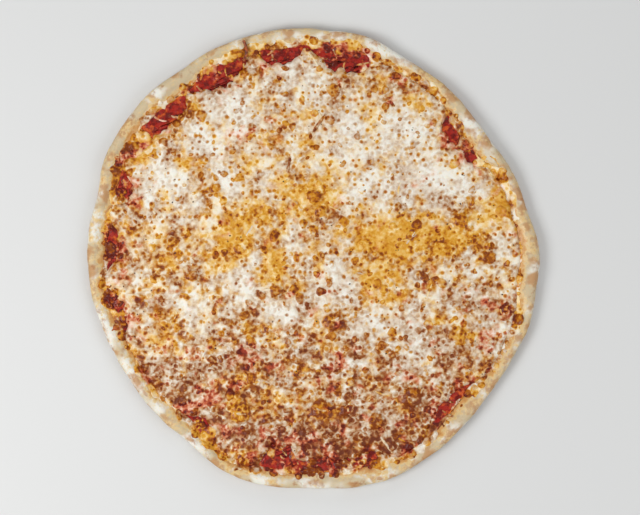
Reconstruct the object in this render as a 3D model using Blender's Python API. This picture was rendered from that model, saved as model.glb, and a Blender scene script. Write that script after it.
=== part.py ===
"""Round thin-crust cheese pizza, hand stretched and whole.

The pizza lies flat with the middle of its underside at the origin, +Z up. It is
built as it is made: a baked dough base with a puffed rim, a sheet of tomato sauce
on the floor of the base, a sheet of melted cheese over the sauce that pulls back
in places and shows it, and one browned strand of cheese across the rim.
"""

import math
import random

import bmesh
import bpy
from mathutils import Vector, noise

MM = 0.001

# Driving dimensions, in millimetres.
ROUND_RADIUS = 196.5  # the outline before its edge is pulled straight in places
FLOOR_HEIGHT = 5.0  # the dough under the toppings
RIM_HEIGHT = 10.8  # the plain rim, without its puffs
RIM_WIDTH = 14.5
SAUCE_THICKNESS = 1.3
CHEESE_THICKNESS = 2.6
STRAND_RADIUS = 1.5
LAYER_GAP = 0.3  # kept between touching layers
CHEESE_GAP = 0.42  # the same under the cheese's edge, whose facets cut across the rim's

ANGULAR_STEPS = 144
CHEESE_CELL = 6.0  # the size of one facet of the cheese

# Unevenness round the rim, each a list of size, waves across the pizza, seed.
OUTLINE_WAVER = ((1.3, 3.0, 1.7), (0.9, 9.0, 4.2))
RIM_WIDTH_WAVER = ((1.2, 5.0, 8.1), (0.8, 13.0, 9.3))
RIM_HEIGHT_WAVER = ((0.7, 6.0, 2.9), (0.6, 15.0, 3.8))
CHEESE_EDGE_WAVER = ((0.9, 12.0, 6.4),)

# Where the edge was pulled straight: direction in degrees, depth, half width in degrees.
EDGE_FLATS = (
    (12, 6.0, 7),
    (36, 17.0, 20),
    (65, 7.0, 8),
    (85, 3.0, 9),
    (126, 3.0, 5),
    (165, 5.0, 6),
    (182, 4.5, 13),
    (210, 11.5, 15),
    (234, 7.0, 10),
    (268, 4.0, 8),
    (325, 10.5, 19),
    (353, 4.0, 8),
)

# Puffs of the rim: direction in degrees, half width in degrees, added height, added width.
RIM_PUFFS = (
    (2, 8, 1.6, 6.0),
    (37, 11, 2.2, 5.0),
    (72, 6, 1.9, 2.0),
    (98, 9, 0.8, 1.5),
    (131, 7, 2.6, 5.0),
    (157, 6, 2.0, 3.0),
    (177, 8, 1.5, 3.5),
    (208, 7, 1.8, 3.5),
    (226, 4, 1.3, 4.0),
    (241, 6, 1.0, 0.5),
    (258, 5, 1.2, 1.0),
    (283, 8, 1.6, 4.0),
    (314, 7, 2.1, 4.5),
    (339, 4, 1.1, 3.0),
    (352, 6, 1.4, 4.5),
)

# The rim's section: share of its width in from the edge, share of its rise above the floor.
RIM_SECTION = (
    (1.12, 0.0),
    (0.97, 0.03),
    (0.80, 0.24),
    (0.62, 0.62),
    (0.45, 0.90),
    (0.30, 1.0),
    (0.16, 0.94),
    (0.065, 0.76),
    (0.012, 0.50),
)
# The same from its widest line down to the table, as shares of the rim's whole height.
RIM_UNDERSIDE = ((0.0, 0.40), (0.012, 0.22), (0.07, 0.06), (0.17, 0.0))

# The edges of the layers, as shares of the rim's width in from the outer edge.
SAUCE_EDGE = 0.84
SAUCE_SHOULDER = 1.08  # where the sauce reaches its full height
SAUCE_FOOT = 1.1  # where its underside becomes level
CHEESE_EDGE = 0.66  # where the cheese reaches onto the rim

SAUCE_EDGE_THICKNESS = 0.6
SAUCE_RIPPLE_INSETS = (26, 31, 36)  # distances in from the edge, where the sauce can show
SAUCE_RIPPLE = (0.45, 14.0)  # depth, waves across the pizza
SAUCE_LEVEL_INSET = 42  # from here inwards the sauce is level
CHEESE_TUCK = 6.0  # how far the cheese's underside slopes in from its edge to the level
# The cheese's rounded edge: distance in from where it ends, and thickness there.
CHEESE_ROUNDING = ((0.4, 0.9), (2.8, 1.9), (7.0, CHEESE_THICKNESS))

# Where the cheese pulls back and the sauce shows: direction and half width in degrees,
# distance of the cheese from the outer edge.
SAUCE_WINDOWS = (
    (32, 3.0, 23),
    (41, 5.5, 27),
    (81, 8.0, 30),
    (99, 5.0, 29),
    (117, 7.5, 29),
    (136, 7.0, 29),
    (147, 3.5, 27),
    (160, 4.0, 27),
    (176, 5.5, 23),
    (195, 5.5, 22),
    (237, 4.5, 21),
    (260, 4.0, 34),
    (270, 7.5, 24),
    (284, 6.0, 23),
    (312, 8.0, 23),
)

# Large blisters and clumps of the cheese: x, y, radius, height.
CHEESE_BLISTERS = (
    (-63, -130, 9, 1.9),
    (-56, -156, 9, 1.6),
    (19, -54, 9, 1.7),
    (125, 31, 9.5, 1.7),
    (120, -66, 9, 1.5),
    (84, -115, 9, 1.8),
    (7, -130, 11, 1.6),
    (53, -136, 7.5, 1.5),
    (1, 52, 6.5, 1.4),
    (-33, 18, 6.5, 1.4),
    (-31, -27, 6.5, 1.5),
    (-101, -15, 5.5, 1.2),
    (37, 141, 6.5, 1.2),
    (61, 142, 5.5, 1.2),
    (60, 124, 5.5, 1.2),
    (51, 78, 6.5, 1.3),
    (37, 81, 5.5, 1.2),
    (148, 0, 7, 1.4),
    (152, 64, 8, 1.8),
    (77, 150, 7, 1.5),
    (100, 113, 6, 1.2),
    (-160, -17, 8, 1.7),
    (-138, -92, 7, 1.5),
    (-110, -124, 8, 1.6),
    (-146, 88, 8, 1.5),
    (-152, 36, 8, 1.5),
    (163, -47, 6, 1.7),
)
SMALL_BLISTERS = 150
SMALL_BLISTER_RADIUS = (3.6, 5.8)
SMALL_BLISTER_HEIGHT = (0.5, 1.1)
BLISTER_FOOT = 1.25  # how far a blister spreads at its foot, in its radii
CHEESE_SWELL = ((0.7, 34.0, 0.3), (0.5, 14.0, 5.1))  # height, length, seed

# The browned strand: distance in from the outer edge along it, direction in degrees, and how
# much lies between it and the dough, none on the rim and the sauce further in.
STRAND_PATH = (
    (2.8, 107.9, 0.0),
    (6.0, 107.7, 0.0),
    (9.5, 107.7, 0.1),
    (12.5, 107.9, 0.9),
    (16.0, 108.5, 2.2),
    (19.5, 109.6, 2.6),
)
STRAND_SEAT = 1.35  # the height of its middle over what carries it, in its radii

COLOURS = {
    "crust": ((0.83, 0.72, 0.52), 0.75),
    "tomato_sauce": ((0.45, 0.05, 0.025), 0.35),
    "melted_cheese": ((0.86, 0.66, 0.36), 0.4),
    "browned_strand": ((0.52, 0.19, 0.05), 0.45),
}


def clear_scene():
    for obj in list(bpy.data.objects):
        bpy.data.objects.remove(obj)


def material(name):
    colour, roughness = COLOURS[name]
    made = bpy.data.materials.new(name)
    made.use_nodes = True
    shader = made.node_tree.nodes["Principled BSDF"]
    shader.inputs["Base Color"].default_value = (*colour, 1.0)
    shader.inputs["Roughness"].default_value = roughness
    shader.inputs["Metallic"].default_value = 0.0
    return made


def smooth(share):
    share = min(1.0, max(0.0, share))
    return share * share * (3 - 2 * share)


def turned_away(angle, direction):
    return abs((angle - direction + 180) % 360 - 180)


def bump(angle, direction, half_width):
    """1 in a direction, a half at the half width and then fading out, all in degrees."""
    return 0.5 ** ((turned_away(angle, direction) / half_width) ** 2)


def waver(angle, rows):
    """Uneven round the pizza, and the same after a full turn."""
    turn = math.radians(angle)
    return sum(
        size * noise.noise(Vector((waves * math.cos(turn), waves * math.sin(turn), seed)))
        for size, waves, seed in rows
    )


def outline(angle):
    """The distance from the centre to the outer edge."""
    flats = sum(depth * bump(angle, at, half) for at, depth, half in EDGE_FLATS)
    return ROUND_RADIUS - flats + waver(angle, OUTLINE_WAVER)


def rim_width(angle):
    puffs = sum(wide * bump(angle, at, half) for at, half, _, wide in RIM_PUFFS)
    return RIM_WIDTH + puffs + waver(angle, RIM_WIDTH_WAVER)


def rim_height(angle):
    puffs = sum(high * bump(angle, at, half) for at, half, high, _ in RIM_PUFFS)
    return RIM_HEIGHT + puffs + waver(angle, RIM_HEIGHT_WAVER)


def crust_top(angle, inset):
    """The height of the dough at a distance in from the outer edge."""
    share = inset / rim_width(angle)
    rise = rim_height(angle) - FLOOR_HEIGHT
    outwards = RIM_SECTION[::-1]
    for (outer, high), (inner, low) in zip(outwards, outwards[1:]):
        if share <= inner:
            along = max(0.0, (share - outer) / (inner - outer))
            return FLOOR_HEIGHT + rise * (high + along * (low - high))
    return FLOOR_HEIGHT


def sauce_top(angle, inset):
    """The height of the sauce, which is level outside its edge and inside its shoulder."""
    edge, shoulder = (share * rim_width(angle) for share in (SAUCE_EDGE, SAUCE_SHOULDER))
    start = crust_top(angle, edge) + LAYER_GAP + SAUCE_EDGE_THICKNESS
    end = FLOOR_HEIGHT + LAYER_GAP + SAUCE_THICKNESS
    along = (inset - edge) / (shoulder - edge)
    return start + (end - start) * min(1.0, max(0.0, along))


def cheese_inset(angle):
    """How far in from the outer edge the cheese ends."""
    inset = CHEESE_EDGE * rim_width(angle) + CHEESE_EDGE_WAVER[0][0]
    inset += waver(angle, CHEESE_EDGE_WAVER)
    for at, half, depth in SAUCE_WINDOWS:
        share = smooth(1.5 - turned_away(angle, at) / half)
        inset += max(0.0, depth - inset) * share
    return inset


def outline_middle():
    """The middle of the outline's box, which the origin is under."""
    steps = [360 * step / ANGULAR_STEPS for step in range(ANGULAR_STEPS)]
    across = [outline(angle) * math.cos(math.radians(angle)) for angle in steps]
    along = [outline(angle) * math.sin(math.radians(angle)) for angle in steps]
    return (min(across) + max(across)) / 2, (min(along) + max(along)) / 2


MIDDLE = outline_middle()


def place(angle, inset, height):
    """A point of the pizza, in metres."""
    radius = outline(angle) - inset
    turn = math.radians(angle)
    x = radius * math.cos(turn) - MIDDLE[0]
    y = radius * math.sin(turn) - MIDDLE[1]
    return Vector((x, y, height)) * MM


def small_blisters():
    """Blisters spread evenly between the large ones, each x, y, radius, height."""
    rng = random.Random(7)
    found = []
    reach = ROUND_RADIUS - 1.5 * RIM_WIDTH
    while len(found) < SMALL_BLISTERS:
        x, y = rng.uniform(-reach, reach), rng.uniform(-reach, reach)
        radius, height = rng.uniform(*SMALL_BLISTER_RADIUS), rng.uniform(*SMALL_BLISTER_HEIGHT)
        clear = all(
            math.hypot(x - other_x, y - other_y) > 0.9 * (radius + other_radius)
            for other_x, other_y, other_radius, _ in (*CHEESE_BLISTERS, *found)
        )
        if clear and math.hypot(x, y) < reach:
            found.append((x, y, radius, height))
    return found


def cheese_relief(x, y, blisters):
    """How far the cheese's top stands above or below its mean, at a point in millimetres."""
    swell = sum(
        height * noise.noise(Vector((x / length, y / length, seed)))
        for height, length, seed in CHEESE_SWELL
    )
    dome = 0.0
    for at_x, at_y, radius, height in blisters:
        away = math.hypot(x - at_x, y - at_y) / (BLISTER_FOOT * radius)
        dome = max(dome, height * smooth(1 - away * away))
    return swell + dome


def ring(bm, point_at):
    """A closed loop of vertices, each placed by its direction in degrees. Returns its edges."""
    made = bmesh.ops.create_circle(bm, segments=ANGULAR_STEPS, radius=1.0)["verts"]
    for vert in made:
        angle = math.degrees(math.atan2(vert.co.y, vert.co.x)) % 360
        vert.co = point_at(angle)
    return list({edge for vert in made for edge in vert.link_edges})


def bridge(bm, rings):
    """Joins each loop to the next."""
    for first, second in zip(rings, rings[1:]):
        bmesh.ops.bridge_loops(bm, edges=first + second)


def close(bm, border):
    """Fills a level loop with one flat face."""
    bmesh.ops.contextual_create(bm, geom=border)


def finish_node(bm, name, collection):
    bmesh.ops.recalc_face_normals(bm, faces=bm.faces)
    mesh = bpy.data.meshes.new(name)
    bm.to_mesh(mesh)
    bm.free()
    mesh.shade_smooth()
    mesh.set_sharp_from_angle(angle=math.radians(40))
    mesh.materials.append(material(name))
    obj = bpy.data.objects.new(name, mesh)
    collection.objects.link(obj)
    return obj


def make_crust(collection):
    def upper(angle, share, rise):
        height = FLOOR_HEIGHT + rise * (rim_height(angle) - FLOOR_HEIGHT)
        return place(angle, share * rim_width(angle), height)

    def lower(angle, share, part):
        return place(angle, share * rim_width(angle), part * rim_height(angle))

    bm = bmesh.new()
    rings = [ring(bm, lambda angle: upper(angle, *row)) for row in RIM_SECTION]
    rings += [ring(bm, lambda angle: lower(angle, *row)) for row in RIM_UNDERSIDE]
    bridge(bm, rings)
    close(bm, rings[0])
    close(bm, rings[-1])
    return finish_node(bm, "crust", collection)


def make_sauce(collection):
    under = FLOOR_HEIGHT + LAYER_GAP
    top = under + SAUCE_THICKNESS
    depth, waves = SAUCE_RIPPLE

    def edge(angle, lift):
        inset = SAUCE_EDGE * rim_width(angle)
        return place(angle, inset, crust_top(angle, inset) + LAYER_GAP + lift)

    def at_share(angle, share, height):
        return place(angle, share * rim_width(angle), height)

    def rippled(angle, inset):
        return place(angle, inset, top - abs(waver(angle, ((depth, waves, inset),))))

    bm = bmesh.new()
    rings = [
        ring(bm, lambda angle: at_share(angle, SAUCE_FOOT, under)),
        ring(bm, lambda angle: edge(angle, 0.0)),
        ring(bm, lambda angle: edge(angle, SAUCE_EDGE_THICKNESS)),
        ring(bm, lambda angle: at_share(angle, SAUCE_SHOULDER, top)),
    ]
    rings += [ring(bm, lambda angle: rippled(angle, inset)) for inset in SAUCE_RIPPLE_INSETS]
    rings.append(ring(bm, lambda angle: place(angle, SAUCE_LEVEL_INSET, top)))
    bridge(bm, rings)
    close(bm, rings[0])
    close(bm, rings[-1])
    return finish_node(bm, "tomato_sauce", collection)


def well_inside(point, margin):
    """Whether a point lies deeper inside the cheese than a margin in millimetres."""
    x, y = point.x / MM + MIDDLE[0], point.y / MM + MIDDLE[1]
    angle = math.degrees(math.atan2(y, x)) % 360
    step = 360 / ANGULAR_STEPS
    nearby = max(cheese_inset(angle + turn) for turn in (-step, 0.0, step))
    return outline(angle) - math.hypot(x, y) > nearby + margin


def fill_with_grid(bm, border, margin):
    """Fills a loop with a square grid, and with triangles between the grid and the loop."""
    cells = round(2 * ROUND_RADIUS / CHEESE_CELL)
    size = ROUND_RADIUS * MM
    grid = bmesh.ops.create_grid(bm, x_segments=cells, y_segments=cells, size=size)["verts"]
    outside = [vert for vert in grid if not well_inside(vert.co, margin)]
    bmesh.ops.delete(bm, geom=outside, context="VERTS")
    kept = [vert for vert in grid if vert.is_valid]
    rim = {edge for vert in kept for edge in vert.link_edges if edge.is_boundary}
    bmesh.ops.triangle_fill(bm, use_beauty=True, edges=[*rim, *border], normal=(0, 0, 1))
    return kept


def make_cheese(collection):
    under = FLOOR_HEIGHT + SAUCE_THICKNESS + 2 * LAYER_GAP
    blisters = (*CHEESE_BLISTERS, *small_blisters())

    def underside(angle, inset):
        clear = max(crust_top(angle, inset), sauce_top(angle, inset)) + CHEESE_GAP
        return max(under, clear)

    def tucked(angle):
        inset = max(cheese_inset(angle) + CHEESE_TUCK, SAUCE_SHOULDER * rim_width(angle))
        return place(angle, inset, under)

    def edge(angle):
        inset = cheese_inset(angle)
        return place(angle, inset, underside(angle, inset))

    def top(angle, step, thickness):
        inset = cheese_inset(angle) + step
        return place(angle, inset, underside(angle, inset) + thickness)

    bm = bmesh.new()
    rings = [ring(bm, tucked), ring(bm, edge)]
    rings += [ring(bm, lambda angle: top(angle, *row)) for row in CHEESE_ROUNDING]
    bridge(bm, rings)
    close(bm, rings[0])
    shoulder = CHEESE_ROUNDING[-1][0]
    for vert in fill_with_grid(bm, rings[-1], shoulder + 0.75 * CHEESE_CELL):
        x, y = vert.co.x / MM, vert.co.y / MM
        vert.co.z = (under + CHEESE_THICKNESS + cheese_relief(x, y, blisters)) * MM
    return finish_node(bm, "melted_cheese", collection)


def make_strand(collection):
    curve = bpy.data.curves.new("browned_strand", "CURVE")
    curve.dimensions = "3D"
    curve.bevel_depth = STRAND_RADIUS * MM
    curve.bevel_resolution = 2
    curve.use_fill_caps = True
    line = curve.splines.new("POLY")
    line.points.add(len(STRAND_PATH) - 1)
    for point, (inset, angle, lift) in zip(line.points, STRAND_PATH):
        height = crust_top(angle, inset) + LAYER_GAP + STRAND_SEAT * STRAND_RADIUS + lift
        point.co = (*place(angle, inset, height), 1.0)
    curve.materials.append(material("browned_strand"))
    obj = bpy.data.objects.new("browned_strand", curve)
    collection.objects.link(obj)
    return obj


def main():
    clear_scene()
    collection = bpy.data.collections.new("cheese_pizza")
    bpy.context.scene.collection.children.link(collection)
    make_crust(collection)
    make_sauce(collection)
    make_cheese(collection)
    make_strand(collection)


main()
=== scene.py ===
import math
import random

import bmesh
import bpy
import numpy as np
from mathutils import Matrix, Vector, noise
from mathutils.bvhtree import BVHTree
from mathutils.kdtree import KDTree


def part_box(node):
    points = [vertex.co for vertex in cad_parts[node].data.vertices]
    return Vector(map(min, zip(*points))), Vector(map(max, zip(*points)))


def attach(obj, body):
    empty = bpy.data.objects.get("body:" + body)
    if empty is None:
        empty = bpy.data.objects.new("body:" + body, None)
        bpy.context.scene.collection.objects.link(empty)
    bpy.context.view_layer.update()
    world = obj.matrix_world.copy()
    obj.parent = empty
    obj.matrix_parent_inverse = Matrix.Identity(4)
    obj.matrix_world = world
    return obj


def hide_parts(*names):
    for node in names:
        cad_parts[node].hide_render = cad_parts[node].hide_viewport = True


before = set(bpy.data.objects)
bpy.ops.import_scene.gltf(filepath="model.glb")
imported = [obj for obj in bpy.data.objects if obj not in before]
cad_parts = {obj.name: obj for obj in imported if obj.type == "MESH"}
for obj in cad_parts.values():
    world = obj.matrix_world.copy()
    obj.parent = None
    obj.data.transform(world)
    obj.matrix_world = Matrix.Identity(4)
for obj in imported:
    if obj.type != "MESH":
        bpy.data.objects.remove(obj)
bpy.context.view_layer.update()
mm = 0.001
print("frame loaded:", sorted(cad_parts))


def rgb(red, green, blue):  # a colour as a paint program shows it, 0 to 255
    linear = []
    for value in (red, green, blue):
        share = value / 255
        linear.append(share / 12.92 if share <= 0.04045 else ((share + 0.055) / 1.055) ** 2.4)
    return (*linear, 1.0)


def startMaterial(name, roughness, specular=0.5):
    material = bpy.data.materials.new(name)
    material.use_nodes = True
    shader = material.node_tree.nodes["Principled BSDF"]
    shader.inputs["Roughness"].default_value = roughness
    shader.inputs["Specular IOR Level"].default_value = specular
    return material, material.node_tree, shader


def plug(tree, socket, value):  # a link where the value is a socket, a setting otherwise
    if isinstance(value, bpy.types.NodeSocket):
        tree.links.new(value, socket)
    else:
        socket.default_value = value


def calc(tree, operation, first, second=0.0):
    node = tree.nodes.new("ShaderNodeMath")
    node.operation = operation
    plug(tree, node.inputs[0], first)
    plug(tree, node.inputs[1], second)
    return node.outputs[0]


def product(tree, first, second):
    return calc(tree, "MULTIPLY", first, second)


def fade(tree, value, start, end, low=0.0, high=1.0):  # low at start, high at end, smooth between
    node = tree.nodes.new("ShaderNodeMapRange")
    node.interpolation_type = "SMOOTHSTEP"
    settings = {"Value": value, "From Min": start, "From Max": end, "To Min": low, "To Max": high}
    for socket, setting in settings.items():
        plug(tree, node.inputs[socket], setting)
    return node.outputs["Result"]


def blend(tree, share, first, second):  # from one colour to another
    node = tree.nodes.new("ShaderNodeMix")
    node.data_type = "RGBA"
    plug(tree, node.inputs[0], share)
    plug(tree, node.inputs[6], first)
    plug(tree, node.inputs[7], second)
    return node.outputs[2]


def toneRamp(tree, value, colours, stops):  # colours from dark to light at values from 0 to 1
    node = tree.nodes.new("ShaderNodeValToRGB")
    ramp = node.color_ramp
    while len(ramp.elements) < len(stops):
        ramp.elements.new(0.5)
    for element, stop, colour in zip(ramp.elements, stops, colours):
        element.position = stop
        element.color = colour
    plug(tree, node.inputs[0], value)
    return node.outputs[0]


def summed(tree, first, *others):  # a value and others, each a pair of a value and its weight
    for value, weight in others:
        node = tree.nodes.new("ShaderNodeMath")
        node.operation = "MULTIPLY_ADD"
        plug(tree, node.inputs[0], value)
        plug(tree, node.inputs[1], weight)
        plug(tree, node.inputs[2], first)
        first = node.outputs[0]
    return first


def objectPlace(tree):
    return tree.nodes.new("ShaderNodeTexCoord").outputs["Object"]


def attribute(tree, name):
    node = tree.nodes.new("ShaderNodeAttribute")
    node.attribute_name = name
    return node.outputs["Fac"]


def mottle(tree, place, size, detail=3.0, roughness=0.5):  # noise with features of a size in mm
    node = tree.nodes.new("ShaderNodeTexNoise")
    plug(tree, node.inputs["Vector"], place)
    node.inputs["Scale"].default_value = 1 / (size * mm)
    node.inputs["Detail"].default_value = detail
    node.inputs["Roughness"].default_value = roughness
    return node.outputs["Fac"]


def shifted(tree, place, amount):  # moves a pattern's place, so that two layers differ
    node = tree.nodes.new("ShaderNodeVectorMath")
    node.operation = "ADD"
    plug(tree, node.inputs[0], place)
    node.inputs[1].default_value = amount
    return node.outputs[0]


def wobbled(tree, place, size, amount):  # bends a pattern by up to about an amount in mm
    node = tree.nodes.new("ShaderNodeTexNoise")
    plug(tree, node.inputs["Vector"], place)
    node.inputs["Scale"].default_value = 1 / (size * mm)
    node.inputs["Detail"].default_value = 2.0
    push = tree.nodes.new("ShaderNodeVectorMath")
    push.operation = "MULTIPLY_ADD"
    plug(tree, push.inputs[0], node.outputs["Color"])
    push.inputs[1].default_value = (2 * amount * mm,) * 3
    push.inputs[2].default_value = (-amount * mm,) * 3
    node = tree.nodes.new("ShaderNodeVectorMath")
    node.operation = "ADD"
    plug(tree, node.inputs[0], place)
    plug(tree, node.inputs[1], push.outputs[0])
    return node.outputs[0]


def centred(tree, place, size, detail=2.0, roughness=0.5):  # noise around 0
    return calc(tree, "SUBTRACT", mottle(tree, place, size, detail, roughness), 0.5)


def cellDots(tree, place, size):  # the distance in cells to a cell's dot, and two draws for the cell
    node = tree.nodes.new("ShaderNodeTexVoronoi")
    node.voronoi_dimensions = "2D"
    plug(tree, node.inputs["Vector"], place)
    node.inputs["Scale"].default_value = 1 / (size * mm)
    parts = tree.nodes.new("ShaderNodeSeparateColor")
    tree.links.new(node.outputs["Color"], parts.inputs[0])
    return node.outputs["Distance"], parts.outputs[0], parts.outputs[1]


def relief(tree, shader, height, depth):  # bump with a depth in mm
    node = tree.nodes.new("ShaderNodeBump")
    node.inputs["Strength"].default_value = 1.0
    node.inputs["Distance"].default_value = depth * mm
    plug(tree, node.inputs["Height"], height)
    tree.links.new(node.outputs["Normal"], shader.inputs["Normal"])


def glow(shader, weight, radius):  # light that sinks in, as in fat and dough
    shader.inputs["Subsurface Weight"].default_value = weight
    shader.inputs["Subsurface Radius"].default_value = (1.0, 0.5, 0.3)
    shader.inputs["Subsurface Scale"].default_value = radius * mm


fieldSettings = {
    "half": 189.0, "cells": 360,  # half the side in mm, and the squares along it
    "noiseSpan": 440,  # how wide the noise is laid out, in mm
    "bends": ((5.0, 11), (2.5, 4)),  # how far soft ovals are bent, and the bends' size, mm
}
axisMm = np.linspace(-fieldSettings["half"], fieldSettings["half"], fieldSettings["cells"] + 1)
gridX, gridY = np.meshgrid(axisMm, axisMm)
gridStep = axisMm[1] - axisMm[0]


def patches(x, y, size, seed):  # smooth noise from -1 to 1 with features of a size
    cells = int(fieldSettings["noiseSpan"] / size) + 4
    lattice = np.random.default_rng(seed).uniform(-1, 1, (cells, cells))
    u, v = x / size + cells / 2, y / size + cells / 2
    col, row = np.floor(u).astype(int), np.floor(v).astype(int)
    u, v = u - col, v - row
    u, v = u * u * (3 - 2 * u), v * v * (3 - 2 * v)
    low = lattice[row, col] * (1 - u) + lattice[row, col + 1] * u
    high = lattice[row + 1, col] * (1 - u) + lattice[row + 1, col + 1] * u
    return low * (1 - v) + high * v


def smoothStep(value, start, end):
    share = np.clip((value - start) / (end - start), 0, 1)
    return share * share * (3 - 2 * share)


def cellDistances(x, y, size, seed):  # to the nearest and the next of scattered points, in cells
    count = int(fieldSettings["noiseSpan"] / size) + 6
    jitter = np.random.default_rng(seed).uniform(0, 1, (count, count, 2))
    u, v = x / size + count / 2, y / size + count / 2
    col, row = np.floor(u).astype(int), np.floor(v).astype(int)
    nearest = np.full(x.shape, 9.0)
    second = np.full(x.shape, 9.0)
    for right in (-1, 0, 1):
        for up in (-1, 0, 1):
            point = jitter[row + up, col + right]
            away = np.hypot(col + right + point[..., 0] - u, row + up + point[..., 1] - v)
            second = np.minimum(second, np.maximum(away, nearest))
            nearest = np.minimum(nearest, away)
    return nearest, second


def window(x, y, reach):  # the part of the field within a reach of a point
    start = [max(0, int((value - reach + fieldSettings["half"]) / gridStep)) for value in (y, x)]
    end = [int((value + reach + fieldSettings["half"]) / gridStep) + 2 for value in (y, x)]
    return slice(start[0], end[0]), slice(start[1], end[1])


def sampled(field, x, y):  # a field between its points
    cells = fieldSettings["cells"]
    u = np.clip((np.asarray(x) + fieldSettings["half"]) / gridStep, 0, cells - 1e-6)
    v = np.clip((np.asarray(y) + fieldSettings["half"]) / gridStep, 0, cells - 1e-6)
    col, row = u.astype(int), v.astype(int)
    u, v = u - col, v - row
    low = field[row, col] * (1 - u) + field[row, col + 1] * u
    high = field[row + 1, col] * (1 - u) + field[row + 1, col + 1] * u
    return low * (1 - v) + high * v


def blurred(field, passes):
    for _ in range(passes):
        padded = np.pad(field, 1, mode="edge")
        beside = padded[:-2, 1:-1] + padded[2:, 1:-1] + padded[1:-1, :-2] + padded[1:-1, 2:]
        field = (beside + 4 * field) / 8
    return field


def regionField(rows):  # soft ovals: x, y, half length, half height, strength
    total = np.zeros_like(gridX)
    (far, coarse), (near, small) = fieldSettings["bends"]
    bentX = gridX + far * patches(gridX, gridY, coarse, 71) + near * patches(gridX, gridY, small, 72)
    bentY = gridY + far * patches(gridX, gridY, coarse, 73) + near * patches(gridX, gridY, small, 74)
    for x, y, wide, high, strength in rows:
        away = ((bentX - x) / wide) ** 2 + ((bentY - y) / high) ** 2
        total = np.maximum(total, strength * np.exp(-0.9 * away))
    return total


# Directions in which the outlines are measured, where they lie, and how exactly, in mm.
outlineSettings = {"count": 2880, "between": (120.0, 200.0), "exact": 0.02}


def placeObject(name, data):
    made = bpy.data.objects.new(name, data)
    bpy.context.scene.collection.objects.link(made)
    return made


def finishPiece(bm, name, material, replaced=()):
    mesh = bpy.data.meshes.new(name)
    bm.to_mesh(mesh)
    bm.free()
    mesh.shade_smooth()
    mesh.materials.append(material)
    piece = placeObject(name, mesh)
    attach(piece, "root")
    if replaced:
        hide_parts(*replaced)
    return piece


def setField(mesh, name, values):
    layer = mesh.attributes.new(name, "FLOAT", "POINT")
    layer.data.foreach_set("value", np.asarray(values, dtype=np.float32))


def places(mesh):
    found = np.empty(len(mesh.vertices) * 3)
    mesh.vertices.foreach_get("co", found)
    return found.reshape(-1, 3)


def normalsOf(mesh):
    found = np.empty(len(mesh.vertices) * 3)
    mesh.vertices.foreach_get("normal", found)
    return found.reshape(-1, 3)


def setPlaces(mesh, found):
    mesh.vertices.foreach_set("co", found.ravel())
    mesh.update()


def surfaceTree(mesh):
    mesh.calc_loop_triangles()
    triangles = np.empty(len(mesh.loop_triangles) * 3, dtype=np.int32)
    mesh.loop_triangles.foreach_get("vertices", triangles)
    corners = [tuple(place) for place in places(mesh)]
    return BVHTree.FromPolygons(corners, triangles.reshape(-1, 3).tolist())


def heightOn(tree, x, y, missing=0.0):  # the height in mm of a surface seen from above
    hit = tree.ray_cast(Vector((x * mm, y * mm, 0.1)), Vector((0, 0, -1)))[0]
    return missing if hit is None else hit.z / mm


def noiseAt(found, size, shift=(0, 0, 0)):  # smooth noise at places, with features of a size in mm
    return np.array([noise.noise(Vector(point / (size * mm)) + Vector(shift)) for point in found])


def mergedMesh(name):  # a solid's triangles, joined at their corners
    bm = bmesh.new()
    bm.from_mesh(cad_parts[name].data)
    bmesh.ops.remove_doubles(bm, verts=bm.verts, dist=0.02 * mm)
    return bm


def joinTriangles(bm):  # into four-sided faces, which subdivide evenly
    bmesh.ops.join_triangles(bm, faces=bm.faces, angle_face_threshold=3.1, angle_shape_threshold=3.1)


def madeVerts(made):
    return [item for item in made["geom"] if isinstance(item, bmesh.types.BMVert)]


def madeEdges(made):
    return [item for item in made["geom"] if isinstance(item, bmesh.types.BMEdge)]


def refined(obj, levels):  # the same mesh with its faces subdivided smoothly
    modifier = obj.modifiers.new("smooth", "SUBSURF")
    modifier.levels = modifier.render_levels = levels
    bpy.context.view_layer.update()
    shown = obj.evaluated_get(bpy.context.evaluated_depsgraph_get())
    made = bpy.data.meshes.new_from_object(shown)
    obj.modifiers.clear()
    old = obj.data
    obj.data = made
    bpy.data.meshes.remove(old)
    return made


def edgeRadii(tree, turns):  # how far a sheet reaches from the middle, in mm, seen from above
    found = []
    for turn in turns:
        low, high = outlineSettings["between"]
        while high - low > outlineSettings["exact"]:
            middle = (low + high) / 2
            hit = heightOn(tree, middle * math.cos(turn), middle * math.sin(turn), None)
            low, high = (low, middle) if hit is None else (middle, high)
        found.append(low)
    return np.array(found)


def around(values, turn):  # a list that goes once round the pizza, between its entries
    share = (np.asarray(turn) / math.tau % 1) * len(values)
    index = share.astype(int) % len(values)
    part = share - share.astype(int)
    return values[index] * (1 - part) + values[(index + 1) % len(values)] * part


def lowest(reach, span):  # the least of a reach within so many directions to either side
    count = len(reach)
    near = np.arange(-span, span + 1)
    return np.array([reach[(near + index) % count].min() for index in range(count)])


def scatteredPlace(rng, reach):  # anywhere within a reach of the middle, evenly
    away, turn = reach * math.sqrt(rng.random()), rng.uniform(0, math.tau)
    return away * math.cos(turn), away * math.sin(turn)


cadTrees = {name: surfaceTree(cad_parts[name].data)
            for name in ("crust", "tomato_sauce", "melted_cheese")}
directions = np.arange(outlineSettings["count"]) * math.tau / outlineSettings["count"]
sauceReach = edgeRadii(cadTrees["tomato_sauce"], directions)
cheeseReach = edgeRadii(cadTrees["melted_cheese"], directions)
toppingReach = np.maximum(sauceReach, cheeseReach)
print("outlines measured")


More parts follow.
